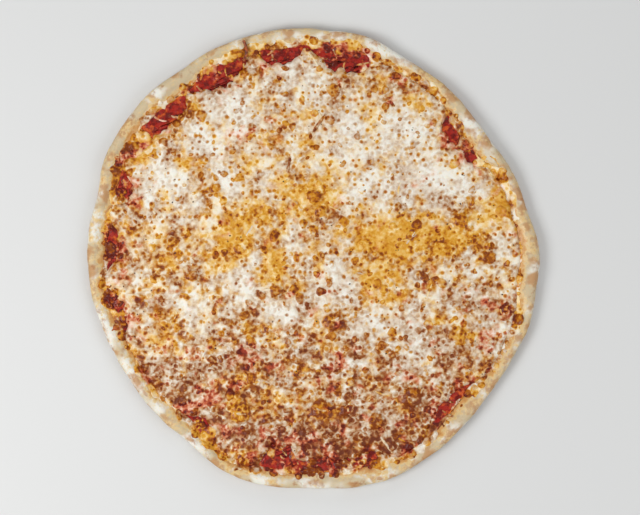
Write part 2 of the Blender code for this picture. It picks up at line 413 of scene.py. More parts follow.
crustSettings = {
    "lump": (0.5, 15.0), "dent": (0.32, 5.5), "grain": (0.1, 2.2),  # height and size in mm
    "crease": (0.45, 9.0),
    "rings": (0.975, 0.85, 0.3),  # where the floor and the underside have rings, as shares of their edge
    "underside": (3.4, 0.4),  # the heights in mm between which the baked underside begins
    "bakedSide": 0.4,  # the direction in which the rim is browner
    "flour": rgb(228, 224, 211),
    "dough": rgb(199, 179, 143),
    "toasted": rgb(184, 136, 86),
    "smudge": rgb(156, 96, 48),
    "yellowed": rgb(218, 188, 132),
    "oily": rgb(204, 146, 76),
    "burnt": rgb(112, 56, 26),
}


def crustMaterial():
    settings = crustSettings
    material, tree, shader = startMaterial("baked dough", 0.62)
    place = objectPlace(tree)
    height = tree.nodes.new("ShaderNodeSeparateXYZ")
    tree.links.new(place, height.inputs[0])
    near = attribute(tree, "nearTopping")
    outer = attribute(tree, "outer")
    broad = mottle(tree, place, 20, 1.5)
    fine = mottle(tree, place, 4.5, 4, 0.6)
    colour = blend(tree, fade(tree, broad, 0.4, 0.58), settings["flour"], settings["dough"])
    toasting = summed(tree, mottle(tree, shifted(tree, place, (3, 1, 0)), 13, 2.5, 0.5),
                      (outer, 0.06), (fine, 0.16), (attribute(tree, "bake"), 0.06))
    colour = blend(tree, fade(tree, toasting, 0.6, 0.76, 0.0, 0.9), colour, settings["toasted"])
    smudge = fade(tree, mottle(tree, shifted(tree, place, (7, 2, 0)), 7, 3, 0.6), 0.56, 0.7, 0.0, 0.65)
    smudge = product(tree, smudge, fade(tree, outer, 0.0, 1.0, 0.3, 1.0))
    colour = blend(tree, smudge, colour, settings["smudge"])
    # Oil from the toppings, deeper towards them.
    blotch = centred(tree, shifted(tree, place, (6, 6, 0)), 3.6, 3, 0.6)
    drift = centred(tree, shifted(tree, place, (8, 1, 0)), 17, 2)
    stained = summed(tree, near, (blotch, 1.8), (drift, 1.9))
    stain = fade(tree, stained, 0.0, 0.5)
    colour = blend(tree, stain, colour, settings["yellowed"])
    colour = blend(tree, fade(tree, stained, 0.4, 0.85, 0.0, 0.9), colour, settings["oily"])
    colour = blend(tree, fade(tree, stained, 0.9, 1.3, 0.0, 0.7), colour, settings["smudge"])
    # The underside, toasted all over and burnt in spots.
    start, end = settings["underside"]
    base = fade(tree, height.outputs[2], start * mm, end * mm)
    colour = blend(tree, product(tree, base, 0.8), colour, settings["toasted"])
    spots = fade(tree, mottle(tree, shifted(tree, place, (1, 5, 0)), 13, 3, 0.55), 0.52, 0.66)
    colour = blend(tree, product(tree, product(tree, spots, base), 0.8), colour, settings["burnt"])
    tree.links.new(colour, shader.inputs["Base Color"])
    tree.links.new(fade(tree, stain, 0.0, 1.0, 0.66, 0.36), shader.inputs["Roughness"])
    grain = summed(tree, mottle(tree, place, 1.6, 4, 0.6), (mottle(tree, place, 5, 3), 1.5))
    relief(tree, shader, grain, 0.22)
    glow(shader, 0.12, 2.5)
    return material


def makeCrust():
    settings = crustSettings
    low, high = (np.array(corner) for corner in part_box("crust"))
    floorHeight = heightOn(cadTrees["crust"], 0, 0) * mm
    bm = mergedMesh("crust")
    close = 0.01 * mm
    # The floor and the underside are taken out and closed again by rings round the middle.
    level = [face for face in bm.faces if all(vert.co.z < close for vert in face.verts)
             or all(abs(vert.co.z - floorHeight) < close for vert in face.verts)]
    bmesh.ops.delete(bm, geom=level, context="FACES")
    joinTriangles(bm)
    openEdges = [edge for edge in bm.edges if edge.is_boundary]
    borders = [[edge for edge in openEdges if edge.verts[0].co.z < close],
               [edge for edge in openEdges if edge.verts[0].co.z > close]]
    for border in borders:
        for share in settings["rings"]:
            made = bmesh.ops.extrude_edge_only(bm, edges=border)
            for vert in madeVerts(made):
                vert.co.xy *= share
            border = madeEdges(made)
        bmesh.ops.contextual_create(bm, geom=border)
    bmesh.ops.recalc_face_normals(bm, faces=bm.faces)
    piece = finishPiece(bm, "bakedCrust", crustMaterial(), ["crust"])
    mesh = refined(piece, 2)
    found = places(mesh)
    x, y, z = (found / mm).T
    turn, reach = np.arctan2(y, x), np.hypot(x, y)
    bare = smoothStep(reach - around(toppingReach, turn), -1.5, 1.5) * smoothStep(z, 0.3, 2.5)
    raised = np.zeros(len(found))
    for part, seed in (("lump", 11), ("dent", 12), ("grain", 13)):
        height, size = settings[part]
        raised += height * noiseAt(found, size, (seed, 0, 0))
    depth, size = settings["crease"]
    raised -= depth * (1 - smoothStep(abs(noiseAt(found, size, (0, 17, 0))), 0.0, 0.09))
    found += normalsOf(mesh) * (raised * bare * mm)[:, None]
    setPlaces(mesh, np.clip(found, low, high))
    setField(mesh, "nearTopping", 1 - smoothStep(reach - around(toppingReach, turn), -2.0, 8.0))
    outside = around(edgeRadii(cadTrees["crust"], directions[::4]), turn)
    setField(mesh, "outer", smoothStep(outside - reach, 9.0, 2.0) * smoothStep(z, 1.0, 4.0))
    setField(mesh, "bake", smoothStep(np.cos(turn - settings["bakedSide"]), 0.3, 0.8))
    return piece


crust = makeCrust()
crustTree = surfaceTree(crust.data)
print("crust made:", len(crust.data.polygons), "faces")


sauceSettings = {
    "pulp": (0.5, 5.0), "grain": (0.25, 2.2),  # height and size in mm
    "count": 720,  # steps round the pizza
    "under": 4.0, "edge": 0.15,  # how far the underside and the edge stay inside the solid's edge, mm
    "close": (0.4, 1.2, 30),  # the rings inside the edge: the first, their spacing in mm, how many
    "wide": (45, 110),  # the rings in the middle, mm inside the edge
    "least": 0.15,  # how thick the sheet is at its edge, mm
    "red": rgb(158, 34, 20),
    "dark": rgb(104, 18, 10),
    "orange": rgb(196, 84, 30),
    "fringe": rgb(206, 120, 40),
    "baked": rgb(122, 48, 20),
}


def sauceMaterial():
    settings = sauceSettings
    material, tree, shader = startMaterial("tomato sauce", 0.36, 0.25)
    place = objectPlace(tree)
    pulp = mottle(tree, place, 4.5, 4, 0.6)
    colour = blend(tree, fade(tree, pulp, 0.42, 0.6), settings["red"], settings["dark"])
    oil = mottle(tree, shifted(tree, place, (2, 5, 0)), 6, 3, 0.6)
    colour = blend(tree, fade(tree, oil, 0.52, 0.68), colour, settings["orange"])
    blotch = centred(tree, shifted(tree, place, (9, 5, 0)), 3.2, 3, 0.6)
    fringe = summed(tree, attribute(tree, "edge"), (blotch, 1.5))
    colour = blend(tree, fade(tree, fringe, 0.45, 0.7), colour, settings["fringe"])
    colour = blend(tree, fade(tree, fringe, 0.75, 1.0), colour, settings["baked"])
    tree.links.new(colour, shader.inputs["Base Color"])
    gloss = fade(tree, mottle(tree, place, 2, 3), 0.35, 0.65, 0.22, 0.5)
    tree.links.new(gloss, shader.inputs["Roughness"])
    relief(tree, shader, mottle(tree, place, 2.2, 4, 0.6), 0.4)
    glow(shader, 0.1, 1.0)
    return material


def makeSauce():
    settings = sauceSettings
    tree = cadTrees["tomato_sauce"]
    count = settings["count"]
    reach = sauceReach[::len(sauceReach) // count]
    under = min(vert.co.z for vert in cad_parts["tomato_sauce"].data.vertices) / mm

    def ring(inset, height=None):  # lies on the dough, or at a height in mm
        made = bmesh.ops.create_circle(bm, segments=count, radius=1.0)["verts"]
        for vert in made:
            index = round(math.atan2(vert.co.y, vert.co.x) / math.tau * count) % count
            turn = math.tau * index / count
            x, y = (reach[index] - inset) * math.cos(turn), (reach[index] - inset) * math.sin(turn)
            z = height
            if z is None:
                ground = heightOn(crustTree, x, y)
                z = max(heightOn(tree, x, y, ground + 0.5), ground + settings["least"])
            vert.co = Vector((x, y, z)) * mm
        return list({edge for vert in made for edge in vert.link_edges})

    bm = bmesh.new()
    first, spacing, closeRings = settings["close"]
    rings = [ring(settings["under"], under), ring(settings["edge"])]
    rings += [ring(first + spacing * step) for step in range(closeRings)]
    rings += [ring(inset, heightOn(tree, 0, 0)) for inset in settings["wide"]]
    for first, second in zip(rings, rings[1:]):
        bmesh.ops.bridge_loops(bm, edges=first + second)
    bmesh.ops.contextual_create(bm, geom=rings[0])
    bmesh.ops.contextual_create(bm, geom=rings[-1])
    bmesh.ops.recalc_face_normals(bm, faces=bm.faces)
    piece = finishPiece(bm, "sauceSheet", sauceMaterial(), ["tomato_sauce"])
    mesh = piece.data
    found = places(mesh)
    x, y, z = (found / mm).T
    turn, away = np.arctan2(y, x), np.hypot(x, y)
    shown = smoothStep(away - around(cheeseReach, turn), -3.0, 1.0)  # the relief is where it shows
    shown = shown * smoothStep(around(reach, turn) - away, 0.2, 2.5)
    raised = settings["pulp"][0] * (patches(x, y, settings["pulp"][1], 21) + 0.3)
    raised += settings["grain"][0] * patches(x, y, settings["grain"][1], 22)
    found[:, 2] += raised * shown * (z > under + 0.3) * mm
    setPlaces(mesh, found)
    setField(mesh, "edge", smoothStep(around(reach, turn) - away, 3.5, 0.0))
    return piece


sauce = makeSauce()
sauceTree = surfaceTree(sauce.data)
print("sauce made:", len(sauce.data.polygons), "faces")


def bedHeight(x, y):  # of what the cheese lies on
    return max(heightOn(crustTree, x, y), heightOn(sauceTree, x, y))


# Soft ovals of the cheese seen from above: x, y, half length, half height in mm, strength.
milkyPatches = [
    (-20, 157, 17, 13, 1), (-66, 126, 20, 22, 1), (-94, 98, 17, 18, 1), (-124, 66, 20, 20, 1),
    (-131, 91, 10, 8, 0.7), (31, 108, 15, 34, 0.9), (73, 104, 25, 25, 0.9), (89, 64, 34, 18, 1),
    (130, 59, 20, 15, 0.8), (47, 62, 24, 17, 0.8), (1, 137, 21, 18, 0.6), (-53, -18, 10, 24, 0.8),
    (-26, -45, 20, 10, 0.9), (24, -3, 10, 30, 0.8), (44, -58, 15, 12, 0.8), (83, -53, 10, 18, 0.8),
    (22, 133, 15, 17, 0.5), (106, 133, 18, 17, 0.5), (-70, 74, 25, 17, 0.5), (157, 11, 12, 17, 0.5),
    (131, -35, 13, 25, 0.4), (119, 121, 7, 8, 0.7), (-5, -30, 22, 16, 0.5), (25, -28, 18, 16, 0.5),
]
oilPools = [
    (68, 16, 35, 20, 1), (52, -18, 17, 20, 0.8), (106, 22, 29, 13, 0.7), (131, 34, 20, 10, 0.5),
    (-63, 16, 22, 15, 0.95), (-35, 3, 12, 25, 0.9), (-18, -22, 13, 10, 0.5), (-95, 11, 25, 13, 0.6),
    (-11, 53, 22, 18, 0.65), (-43, 39, 17, 13, 0.5), (14, 58, 15, 17, 0.5), (-125, 3, 22, 12, 0.4),
    (-58, -165, 15, 10, 0.6), (-62, -129, 12, 10, 0.5), (-77, -112, 18, 13, 0.25),
    (-32, -119, 22, 17, 0.25), (5, -127, 25, 13, 0.25), (-146, 91, 12, 12, 0.8),
    (-164, -35, 12, 22, 0.5), (155, 42, 13, 17, 0.85), (26, 184, 22, 8, 0.7),
    (73, -119, 42, 20, 0.2), (131, -68, 17, 17, 0.4), (-129, -64, 20, 17, 0.4),
    (14, -60, 13, 17, 0.35), (115, -94, 17, 13, 0.3),
]
thinPlaces = [
    (115, 106, 12, 12, 1), (131, 87, 12, 10, 0.8), (-66, 104, 10, 13, 0.5), (-70, -109, 12, 8, 0.9),
    (-85, -119, 13, 10, 0.7), (-98, -141, 8, 8, 0.8), (22, -82, 12, 7, 0.8), (76, -139, 12, 8, 0.6),
    (131, -106, 12, 8, 0.8), (110, -129, 13, 7, 0.6), (148, -63, 8, 15, 0.7),
    (-147, 80, 8, 12, 0.6), (10, -172, 34, 7, 0.6), (-58, -85, 17, 12, 0.6),
    (-108, -127, 15, 12, 0.6), (-154, 49, 12, 22, 0.7), (-163, 7, 10, 25, 0.7),
    (-158, -52, 12, 20, 0.6), (-11, -152, 50, 17, 0.32), (89, -157, 34, 13, 0.45),
    (47, 167, 34, 8, 0.6), (73, 150, 25, 12, 0.5), (157, 74, 8, 17, 0.5), (31, -152, 34, 17, 0.4),
    (161, -43, 12, 17, 0.7), (-41, 162, 8, 7, 0.7), (-83, 146, 20, 8, 0.6), (162, 37, 8, 12, 0.7),
]
# Browned blisters: x, y, radius in mm, and tone from 0, golden, to 1, nearly black.
brownBlisters = [
    (172, -51, 5.0, 0.9), (161, -41, 4.2, 0.5), (-62, -129, 8.8, 0.35), (7, -127, 8.8, 0.5),
    (53, -137, 6.7, 0.5), (83, -117, 8.4, 0.85), (28, -127, 5.0, 0.5), (18, -54, 9.2, 0.6),
    (15, -65, 3.8, 0.9), (96, -147, 5.5, 0.5), (121, -65, 7.1, 0.35), (130, -89, 4.2, 0.5),
    (148, 1, 5.5, 0.85), (124, 32, 5.9, 0.35), (98, 37, 3.4, 0.4), (71, 43, 3.4, 0.4),
    (105, 23, 2.1, 0.6), (109, 16, 2.5, 0.6), (158, 40, 5.0, 0.5), (104, -17, 2.5, 0.95),
    (73, -66, 2.5, 0.9), (35, -2, 3.4, 0.5), (160, 71, 7.0, 0.85), (157, 82, 3.8, 0.7),
    (115, 105, 5.0, 0.4), (132, 86, 4.2, 0.4), (100, 114, 3.4, 0.5), (101, 141, 4.2, 0.5),
    (86, 153, 4.2, 0.5), (69, 154, 3.8, 0.8), (61, 142, 2.9, 0.5), (51, 143, 3.4, 0.5),
    (47, 137, 2.5, 0.6), (61, 127, 3.4, 0.5), (60, 115, 2.5, 0.5), (16, 142, 5.0, 0.4),
    (0, 122, 3.4, 0.5), (-24, 138, 2.9, 0.5), (-26, 126, 2.9, 0.5), (-18, 111, 2.9, 0.5),
    (31, 179, 7.6, 0.3), (37, 170, 2.9, 0.5), (19, 164, 2.9, 0.8), (-94, 120, 4.2, 0.6),
    (-105, 121, 2.5, 0.8), (-110, 118, 2.1, 0.9), (-155, 73, 3.4, 0.8), (-164, 56, 2.9, 0.8),
    (-171, 21, 3.4, 0.8), (-171, 6, 4.2, 0.6), (-118, 13, 4.2, 0.5), (-33, 18, 4.6, 0.7),
    (-83, 3, 2.9, 0.8), (-102, -14, 4.6, 0.4), (-32, -27, 5.5, 0.7), (-162, -47, 4.2, 0.3),
    (-171, -40, 2.9, 0.7), (-143, -92, 4.2, 0.5), (-132, -105, 4.2, 0.5), (-113, -129, 2.5, 0.95),
    (-101, -130, 2.5, 0.95), (-37, -154, 3.8, 0.95), (-61, -169, 3.4, 0.5), (-39, -135, 3.8, 0.6),
    (-1, -171, 3.4, 0.9), (137, -115, 3.4, 0.6), (33, -90, 3.8, 0.3), (31, -104, 3.8, 0.3),
    (1, 52, 5.5, 0.7), (5, 39, 4.6, 0.4), (25, 32, 4.2, 0.6), (53, -21, 3.4, 0.5),
    (59, -26, 4.2, 0.5), (87, -22, 2.5, 0.9),
]
cheeseSettings = {
    # Depth and size in mm of the edge's unevenness, and of its tongues over bare sauce.
    "ragged": (1.3, 5.0), "fringe": (0.9, 2.4), "tongues": (3.2, 3.4),
    "edgeRounding": 3.2, "drawnBack": 2.8,  # mm
    "under": (6.9, 24, 5.5),  # its underside: height in mm, directions evened out, mm inside the edge
    "least": 0.8,  # how thick the sheet is at its thinnest, mm
    "strands": 2600, "strandLength": (4, 15), "strandHalfWidth": (1.2, 1.9), "strandHeight": 0.8,
    "strandStep": 1.1, "strandReach": 186,  # mm
    "blisters": 480, "blisterRadius": (1.5, 4.2), "blisterReach": 180,  # mm
    "blisterHeight": 0.3,  # share of the radius
    "swell": (0.25, 6.0),  # height and size in mm
    # How light the cheese is from the bottom of the pizza to the top: y in mm, level from 0 to 1.
    "levels": ((-175, 0.51), (-130, 0.59), (-80, 0.73), (-30, 0.8), (20, 0.77), (110, 0.8), (175, 0.69)),
    "stops": (0.04, 0.3, 0.48, 0.66, 0.82, 0.98),
    # From dark to light at the stops: ordinary, oiled, grey and thin cheese.
    "plain": (rgb(107, 43, 9), rgb(151, 85, 32), rgb(178, 130, 82),
              rgb(199, 166, 130), rgb(222, 199, 167), rgb(236, 226, 205)),
    "oiled": (rgb(126, 57, 8), rgb(172, 97, 14), rgb(200, 133, 28),
              rgb(215, 157, 55), rgb(229, 186, 104), rgb(242, 218, 168)),
    "grey": (rgb(102, 42, 14), rgb(146, 84, 40), rgb(175, 133, 99),
             rgb(196, 173, 151), rgb(217, 204, 188), rgb(236, 234, 225)),
    "ruddy": (rgb(92, 22, 10), rgb(152, 52, 26), rgb(190, 94, 56),
              rgb(209, 141, 104), rgb(226, 184, 158), rgb(240, 222, 210)),
}


cheeseLooks = ("level", "warm", "red", "spot", "tone")  # what the material reads from the mesh
noBlister = (-0.6, 0.5)  # spot and tone where there is none
# Where the sauce stays bare beside the rim: from and to in degrees, strength.
bareStretches = [
    (31, 35, 0.85), (39, 46, 0.95), (73, 88, 0.45), (87, 105, 0.65), (109, 127, 0.6), (129, 143, 1),
    (153, 163, 0.5), (170, 184, 0.5), (190, 201, 0.5), (222, 226, 0.5), (228, 238, 0.5),
    (255, 263, 0.42), (264, 280, 0.34), (281, 300, 0.3), (306, 322, 0.5),
]
# Where the rim stays clean: from and to in degrees, share.
cleanStretches = [
    (-8, 9, 0.7), (28, 41, 0.8), (46, 50, 0.9), (57, 66, 0.6), (127, 133, 0.5), (143, 152, 0.7),
    (163, 170, 0.5), (176, 183, 0.6), (203, 211, 1), (222, 227, 0.9), (234, 240, 0.5),
    (256, 286, 0.6), (305, 318, 0.8), (323, 338, 0.8), (346, 352, 0.9),
]


def stretchShare(turn, stretches, soft):
    degrees = np.degrees(turn) % 360
    share = np.zeros(len(degrees))
    for first, last, strength in stretches:
        for whole in (0, 360):
            part = smoothStep(degrees, first + whole - soft, first + whole + soft)
            part = part * smoothStep(degrees, last + whole + soft, last + whole - soft)
            share = np.maximum(share, strength * part)
    return share


def cheeseOutline():
    depth, size = cheeseSettings["ragged"]
    fringe, fringeSize = cheeseSettings["fringe"]
    x, y = cheeseReach * np.cos(directions), cheeseReach * np.sin(directions)
    worn = 0.3 + depth * (0.5 + 0.5 * patches(x, y, size, 31))
    worn = worn + fringe * (0.5 + 0.5 * patches(x, y, fringeSize, 32))
    narrow = smoothStep(sauceReach - cheeseReach, 11, 4)
    bare = stretchShare(directions, bareStretches, 1.5)  # it draws back further there
    reach = cheeseReach - worn - cheeseSettings["drawnBack"] * bare * narrow
    tongue, tongueSize = cheeseSettings["tongues"]
    reach = reach + tongue * smoothStep(sauceReach - cheeseReach, 3, 8) * patches(x, y, tongueSize, 33)
    return np.stack([reach * np.cos(directions), reach * np.sin(directions)], axis=1), reach


def strandField():  # how high the melted strands stand, from 0 to 1
    rng = random.Random(5)
    field = np.zeros_like(gridX)
    stride = cheeseSettings["strandStep"]
    for _ in range(cheeseSettings["strands"]):
        x, y = scatteredPlace(rng, cheeseSettings["strandReach"])
        slanted = x > 20 and rng.random() < 0.6  # many on the right side lie the same way
        heading = rng.gauss(0.65, 0.45) if slanted else rng.uniform(0, math.pi)
        bend = rng.gauss(0, 0.09)
        half = rng.uniform(*cheeseSettings["strandHalfWidth"])
        strength = rng.uniform(0.55, 1.0)
        length = rng.uniform(*cheeseSettings["strandLength"])
        steps = int(length / stride)
        for step in range(steps):
            taper = min(1.0, 0.55 + 0.45 * min(step, steps - 1 - step) / 2)
            part = window(x, y, half + 1.5)
            distance = np.hypot(gridX[part] - x, gridY[part] - y) / (half * taper)
            field[part] = np.maximum(field[part], strength * np.clip(1 - distance * distance, 0, 1))
            x, y = x + stride * math.cos(heading), y + stride * math.sin(heading)
            heading += bend
    return field


def blisterRows(bake):  # the named blisters, and others between them, more where it is browner
    rng = random.Random(9)
    rows = list(brownBlisters)
    small, large = cheeseSettings["blisterRadius"]
    while len(rows) < len(brownBlisters) + cheeseSettings["blisters"]:
        x, y = scatteredPlace(rng, cheeseSettings["blisterReach"])
        radius = small + (large - small) * rng.random() ** 2.2
        if rng.random() > 0.5 + 0.5 * float(sampled(bake, x, y)):
            continue
        if all(math.hypot(x - other[0], y - other[1]) > 0.8 * (radius + other[2]) for other in rows):
            rows.append((x, y, radius, rng.uniform(0.0, 0.9)))
    return rows


def cheeseMaterial():
    settings = cheeseSettings
    material, tree, shader = startMaterial("melted cheese", 0.4, 0.22)
    place = objectPlace(tree)
    bent = wobbled(tree, place, 3.0, 0.9)
    level, warm, red, spot, tone = (attribute(tree, name) for name in cheeseLooks)
    fine = centred(tree, place, 2.9, 2.0, 0.55)
    medium = centred(tree, shifted(tree, place, (4, 1, 0)), 5.5)
    broad = centred(tree, shifted(tree, place, (2, 7, 0)), 13.0)
    wide = centred(tree, shifted(tree, place, (5, 3, 0)), 24.0)
    tart = centred(tree, shifted(tree, place, (8, 8, 0)), 8.0)
    # Small bubbles with a pale ring, a painted highlight on their raised rim that the bump also raises,
    # stronger where the cheese is brown.
    distance, first, second = cellDots(tree, bent, 7.4)
    shown = fade(tree, second, 0.35, 0.6)
    band = calc(tree, "ABSOLUTE", calc(tree, "SUBTRACT", distance, 0.33))
    ring = product(tree, fade(tree, band, 0.15, 0.0), shown)
    ring = product(tree, ring, fade(tree, level, 0.5, 0.75, 3.0, 1.0))
    heart = product(tree, fade(tree, distance, 0.3, 0.05), product(tree, shown, first))
    # Dark dots, stronger where the cheese is pale.
    distance, first, second = cellDots(tree, wobbled(tree, place, 2.2, 0.5), 5.2)
    size = summed(tree, 0.16, (first, 0.24))
    dot = fade(tree, calc(tree, "DIVIDE", distance, size), 1.3, 0.25)
    dot = product(tree, dot, fade(tree, second, 0.35, 0.9))
    dot = product(tree, dot, fade(tree, level, 0.6, 0.95, 0.95, 1.2))
    # Grains and clots, weaker where the cheese is palest or oily.
    grains = calc(tree, "SUBTRACT", fade(tree, mottle(tree, bent, 3.3, 1.5), 0.36, 0.64), 0.5)
    clots = fade(tree, mottle(tree, shifted(tree, bent, (1, 4, 0)), 5.4, 1.5), 0.5, 0.66)
    rough = product(tree, fade(tree, level, 0.9, 0.5, 0.3, 1.45), fade(tree, warm, 0.7, 1.2, 1.0, 0.6))
    # Blisters, with a lighter middle where the cheese is brown.
    swollen = summed(tree, spot, (fine, 0.4), (medium, 0.3))
    hollow = product(tree, fade(tree, swollen, 0.22, 0.68), fade(tree, level, 0.5, 0.8, 0.62, 0.25))
    blister = calc(tree, "SUBTRACT", fade(tree, swollen, -0.14, 0.14), hollow)
    depth = summed(tree, 0.1, (tone, 0.48), (medium, 0.9), (grains, -0.1))
    # How light it is, then how golden, how grey and how red.
    # The bubbles' pale rings add a painted highlight to how light the cheese is.
    value = summed(tree, level, (product(tree, grains, rough), 0.22), (product(tree, clots, rough), -0.24),
                   (fine, 0.18), (ring, 0.08), (heart, -0.22), (dot, -0.46),
                   (product(tree, blister, depth), -1.0))
    hue = summed(tree, warm, (fine, 0.15), (medium, 1.5), (broad, 1.6), (wide, 1.2),
                 (heart, 0.3), (dot, 0.4), (blister, 0.45), (value, -0.3))
    hue = calc(tree, "ADD", hue, 0.21)
    dull = centred(tree, shifted(tree, place, (9, 2, 0)), 4.6, 3.0)
    greyness = calc(tree, "ADD", summed(tree, dull, (broad, -0.6), (warm, -0.5)), 0.14)
    redness = summed(tree, red, (tart, 2.0), (broad, 1.6), (wide, -1.4), (fine, 0.3), (value, -0.25))
    plain, oiled, grey, ruddy = (toneRamp(tree, value, settings[name], settings["stops"])
                                 for name in ("plain", "oiled", "grey", "ruddy"))
    colour = blend(tree, fade(tree, greyness, -0.06, 0.16, 0.0, 0.7), plain, grey)
    colour = blend(tree, fade(tree, hue, 0.1, 0.94), colour, oiled)
    colour = blend(tree, fade(tree, redness, 0.05, 0.75), colour, ruddy)
    tree.links.new(colour, shader.inputs["Base Color"])
    gloss = fade(tree, summed(tree, hue, (fine, 1.0)), 0.1, 1.0, 0.46, 0.27)  # oily cheese shines more
    tree.links.new(gloss, shader.inputs["Roughness"])
    bumps = summed(tree, mottle(tree, place, 2.2, 3, 0.55), (grains, 0.5), (ring, 0.15), (dot, -0.3))
    relief(tree, shader, bumps, 0.3)
    glow(shader, 0.08, 1.4)
    return material


def gridPatches(size, seed):
    return patches(gridX, gridY, size, seed)


def cheeseFields():  # what the cheese looks like over the grid, and how high it stands
    milky, oil, thin = (regionField(rows) for rows in (milkyPatches, oilPools, thinPlaces))
    heights, levels = zip(*cheeseSettings["levels"])
    base = np.interp(gridY + 14 * gridPatches(60, 40), heights, levels)
    fields = {"ridge": blurred(strandField(), 1)}
    level = base + 0.005 + 0.17 * milky - 0.08 * thin + 0.03 * gridPatches(26, 41)
    fields["bake"] = np.clip(1.3 - 1.3 * level, 0, 1) * (1 - 0.5 * oil)
    nearest, second = cellDistances(gridX + gridPatches(4, 45), gridY + gridPatches(4, 46), 5.2, 47)
    # The seams between grains, darkened below: partly browning, partly painted shade in the crevices.
    seamShade = 1 - smoothStep(second - nearest, 0.0, 0.4)
    northern = smoothStep(gridY, -30, 70)
    rough = (1 - 0.8 * milky) * (0.8 + 0.45 * fields["bake"]) * (1 - 0.6 * oil) * (1 - 0.4 * northern)
    level += 0.03 * northern
    level += (1 - 0.5 * milky) * (1 - 0.6 * oil) * (0.09 * gridPatches(17, 39) + 0.15 * gridPatches(10, 42))
    level += rough * (0.16 * gridPatches(6, 43) + 0.2 * gridPatches(3.6, 44))
    level += (0.18 + 0.16 * fields["bake"]) * (fields["ridge"] - 0.36) - 0.08 * seamShade - 0.04 * oil
    fields["level"] = level
    southern = smoothStep(gridY, 60, -140)
    fields["warm"] = 0.36 + 0.95 * oil - 0.5 * milky - 0.31 * southern + 0.16 * gridPatches(18, 53)
    fields["red"] = 0.75 * thin + 0.16 * gridPatches(9, 54) - 0.25 * oil - 0.1 * milky + 0.12 * southern
    # Blisters: 1 in the middle and 0 at the edge, their tone, and their height in mm.
    fields["spot"] = np.full_like(gridX, noBlister[0])
    fields["tone"] = np.full_like(gridX, noBlister[1])
    fields["dome"] = np.zeros_like(gridX)
    bentX = gridX + 0.8 * gridPatches(2.8, 48) + 1.3 * gridPatches(5.5, 50)
    bentY = gridY + 0.8 * gridPatches(2.8, 49) + 1.3 * gridPatches(5.5, 51)
    for x, y, radius, tone in blisterRows(fields["bake"]):
        part = window(x, y, 1.6 * radius + 1)
        away = np.hypot(bentX[part] - x, bentY[part] - y) / radius
        nearer = 1 - away > fields["spot"][part]
        fields["tone"][part] = np.where(nearer & (away < 1.5), tone, fields["tone"][part])
        fields["spot"][part] = np.maximum(fields["spot"][part], 1 - away)
        height = cheeseSettings["blisterHeight"] * min(radius, 5.0)
        shape = smoothStep(away, 1.25, 0.65) - 0.35 * smoothStep(away, 0.6, 0.1)
        fields["dome"][part] = np.maximum(fields["dome"][part], height * shape)
    return fields


